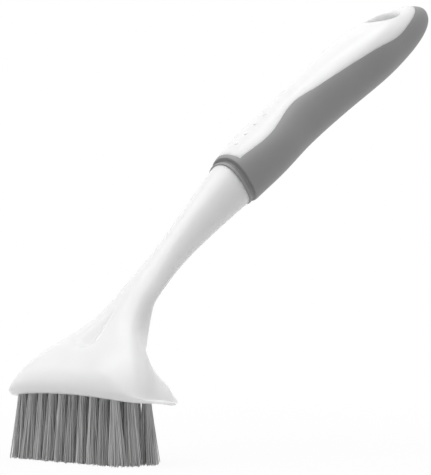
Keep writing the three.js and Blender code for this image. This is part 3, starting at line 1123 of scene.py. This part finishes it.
@dataclass
class SoftGrip:
    """Grey grip moulded over the handle core, with a rib, a groove and a flange at the stem."""

    grip: GripForm
    stem_end: tuple[float, float] = (9.8, 9.1)
    start: float = 65.7
    soft_wall: float = 2.6
    core_levels: int = 1
    flange_round: float = 0.2

    # Rise over the end of the stem, keyed by the distance from the start
    collar: Keys = (
        (0.0, -1.2),
        (0.0, 0.2),
        (0.25, 0.4),
        (0.75, 0.48),
        (1.25, 0.4),
        (1.5, 0.2),
        (1.55, -0.5),
        (2.3, -0.7),
        (3.1, -0.5),
        (3.15, 0.7),
        (3.3, 1.1),
    )

    def collar_ring(self, place: float, rise: float) -> np.ndarray:
        """Draws a ring of the collar."""
        half = (self.stem_end[0] + rise, self.stem_end[1] + rise)
        powers = (self.grip.power, self.grip.power)
        return self.grip.spine.ring(self.start + place, half, powers, self.grip.points)

    def build(self, finish: bpy.types.Material) -> bpy.types.Object:
        """Builds the grip and cuts the core, the panel and the hole out of it.

        Args:
            finish: Material of the piece.

        Returns:
            The finished grip.
        """
        form = self.grip
        collar = np.array([self.collar_ring(place, rise) for place, rise in self.collar])
        palm = form.rings(form.flange_at + self.flange_round, 0)
        piece = wrap("soft_grip_dressed", np.concatenate([collar, palm]))
        round_off(piece, ROUND_LEVELS)
        core = wrap("core_tool", form.rings(form.spine.collar - form.overrun, self.soft_wall))
        round_off(core, self.core_levels)
        combine(piece, core, Cut.AWAY)
        combine(piece, form.panel_tool(form.panel_fit), Cut.AWAY)
        combine(piece, form.hole_tool(), Cut.AWAY)
        smooth(piece, CREASE)
        dress(piece, finish)
        return piece


# The studio


@dataclass(frozen=True)
class Softbox:
    """Square softbox, with its place and side in metres and its power in watts."""

    name: str
    place: tuple[float, float, float]
    side: float
    power: float

    def hang(self, aim: tuple[float, float, float]) -> None:
        """Hangs the softbox so that it faces a point.

        Args:
            aim: The point in metres.
        """
        light = bpy.data.lights.new(self.name, "AREA")
        light.size = self.side
        light.energy = self.power
        lamp = bpy.data.objects.new(self.name, light)
        lamp.location = self.place
        lamp.rotation_euler = (Vector(aim) - lamp.location).to_track_quat("-Z", "Y").to_euler()
        bpy.context.scene.collection.objects.link(lamp)


@dataclass
class Studio:
    """White floor, soft light from above and the camera of the photograph."""

    # Camera, with its focal length in pixels and its distance in metres
    focal: float = 2680.0
    frame: tuple[float, float] = (431.0, 475.0)
    sensor_mm: float = 36.0
    heading: float = 49.0
    elevation: float = 3.0
    distance: float = 1.0
    aim: tuple[float, float, float] = (3.15, 0.0, 24.8)
    aim_pixel: tuple[float, float] = (83.45, 395.2)

    # Surround and floor, with sizes in metres
    ambient: float = 0.37
    floor_side: float = 60.0
    floor_colour: str = "#E7E7E7"
    floor_glow: float = 0.93
    floor_reach: float = 0.45

    # Lamps, with sizes in metres
    lamp_aim: tuple[float, float, float] = (0.07, 0.0, 0.08)
    softboxes: tuple[Softbox, ...] = (
        Softbox("overhead_softbox", (-0.1, 0.08, 1.25), 1.2, 11.7),
        Softbox("far_side_softbox", (-0.4, 1.0, 0.6), 0.8, 1.8),
    )

    def camera(self) -> None:
        """Places the camera so that the aim lands on its pixel."""
        turn, rise = math.radians(self.heading), math.radians(self.elevation)
        right = Vector((math.sin(turn), -math.cos(turn), 0))
        level = Vector((-math.cos(turn), -math.sin(turn), 0))
        toward = level * math.cos(rise) + Vector((0, 0, math.sin(rise)))
        up = toward.cross(right)
        across = (self.frame[0] / 2 - self.aim_pixel[0]) / self.focal
        down = (self.aim_pixel[1] - self.frame[1] / 2) / self.focal
        back = (toward - right * across - up * down).normalized()
        side = up.cross(back).normalized()
        lens = bpy.data.cameras.new("photo_camera")
        lens.sensor_fit = "VERTICAL"
        lens.sensor_height = self.sensor_mm
        lens.lens = self.focal * self.sensor_mm / self.frame[1]
        camera = bpy.data.objects.new("photo_camera", lens)
        place = Matrix((side, back.cross(side), back)).transposed().to_4x4()
        place.translation = Vector(self.aim) * MM + toward * self.distance
        camera.matrix_world = place
        bpy.context.scene.collection.objects.link(camera)
        bpy.context.scene.camera = camera

    def seen(self, tree: bpy.types.NodeTree) -> bpy.types.NodeSocket:
        """Tells the rays that show a surface from those that light the brush.

        Args:
            tree: Tree that takes the nodes.

        Returns:
            A socket that is 1 for rays from the camera, from gloss and through glass.
        """
        path = add_node(tree, "ShaderNodeLightPath", {}).outputs
        gloss = add_node(
            tree,
            "ShaderNodeMath",
            {0: path["Is Camera Ray"], 1: path["Is Glossy Ray"]},
            operation="MAXIMUM",
        ).outputs[0]
        return add_node(
            tree,
            "ShaderNodeMath",
            {0: gloss, 1: path["Is Transmission Ray"]},
            operation="MAXIMUM",
        ).outputs[0]

    def world(self) -> None:
        """Makes a plain white surround that is dimmer as a light than it looks."""
        world = bpy.data.worlds.new("white_surround")
        world.use_nodes = True
        bpy.context.scene.world = world
        tree = world.node_tree
        strength = add_node(
            tree,
            "ShaderNodeMapRange",
            {"Value": self.seen(tree), "To Min": self.ambient, "To Max": 1.0},
        ).outputs["Result"]
        fill(tree, tree.nodes["Background"], {"Color": WHITE, "Strength": strength})

    def floor(self) -> None:
        """Lays a white floor that keeps a trace of the brush's shadow."""
        bpy.ops.object.select_all(action="DESELECT")
        bpy.ops.mesh.primitive_plane_add(size=self.floor_side, location=(0, 0, 0))
        floor = bpy.context.object
        floor.name = "floor"
        made, tree, _ = blank("white_paper_floor")
        tree.nodes.clear()
        matt = add_node(tree, "ShaderNodeBsdfDiffuse", {"Color": linear(self.floor_colour)}).outputs[0]
        glow = add_node(tree, "ShaderNodeEmission", {"Color": WHITE, "Strength": 1.0}).outputs[0]
        place = add_node(tree, "ShaderNodeTexCoord", {}).outputs["Object"]
        away = add_node(tree, "ShaderNodeVectorMath", {0: place}, operation="LENGTH").outputs["Value"]
        fade = add_node(
            tree,
            "ShaderNodeMapRange",
            {"Value": away, "From Max": self.floor_reach, "To Min": self.floor_glow, "To Max": 1.0},
        ).outputs["Result"]
        share = add_node(
            tree, "ShaderNodeMath", {0: self.seen(tree), 1: fade}, operation="MULTIPLY"
        ).outputs[0]
        both = add_node(tree, "ShaderNodeMixShader", {0: share, 1: matt, 2: glow}).outputs[0]
        add_node(tree, "ShaderNodeOutputMaterial", {"Surface": both})
        dress(floor, made)

    def build(self) -> None:
        """Sets up the whole studio."""
        bpy.context.scene.view_settings.view_transform = "Standard"
        self.camera()
        self.world()
        self.floor()
        for softbox in self.softboxes:
            softbox.hang(self.lamp_aim)


def keep(piece: bpy.types.Object, node: str) -> None:
    """Puts a piece in the place of a CAD node.

    Args:
        piece: Finished piece.
        node: CAD node that it stands for.
    """
    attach(piece, "root")
    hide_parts(node)
    LOG.info("%s: %d faces, stands for %s", piece.name, len(piece.data.polygons), node)


def main() -> None:
    """Builds the brush and the studio."""
    logging.basicConfig(level=logging.INFO, format="%(name)s: %(message)s")
    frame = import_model()
    Studio().build()

    white = MouldedPolypropylene().material()
    grey = ThermoplasticRubber().material()
    nylon = NylonFilament().material()
    wire = GalvanisedWire().material()

    spine = Spine()
    grip = GripForm(spine)
    keep(CoreMoulding(spine, grip).build(white), "core_moulding")
    keep(SoftGrip(grip).build(grey), "soft_grip")
    bristles = BristleField()
    keep(bristles.build("front_bristles", (0, 1), 11, nylon), "bristles_front")
    keep(bristles.build("rear_bristles", (2, 3), 23, nylon), "bristles_rear")
    anchors = [node for name, node in frame["nodes"].items() if name.startswith("anchor_")]
    for node in anchors:
        dress(node, wire)
    LOG.info("%d wire anchors", len(anchors))


if __name__ == "__main__":
    main()
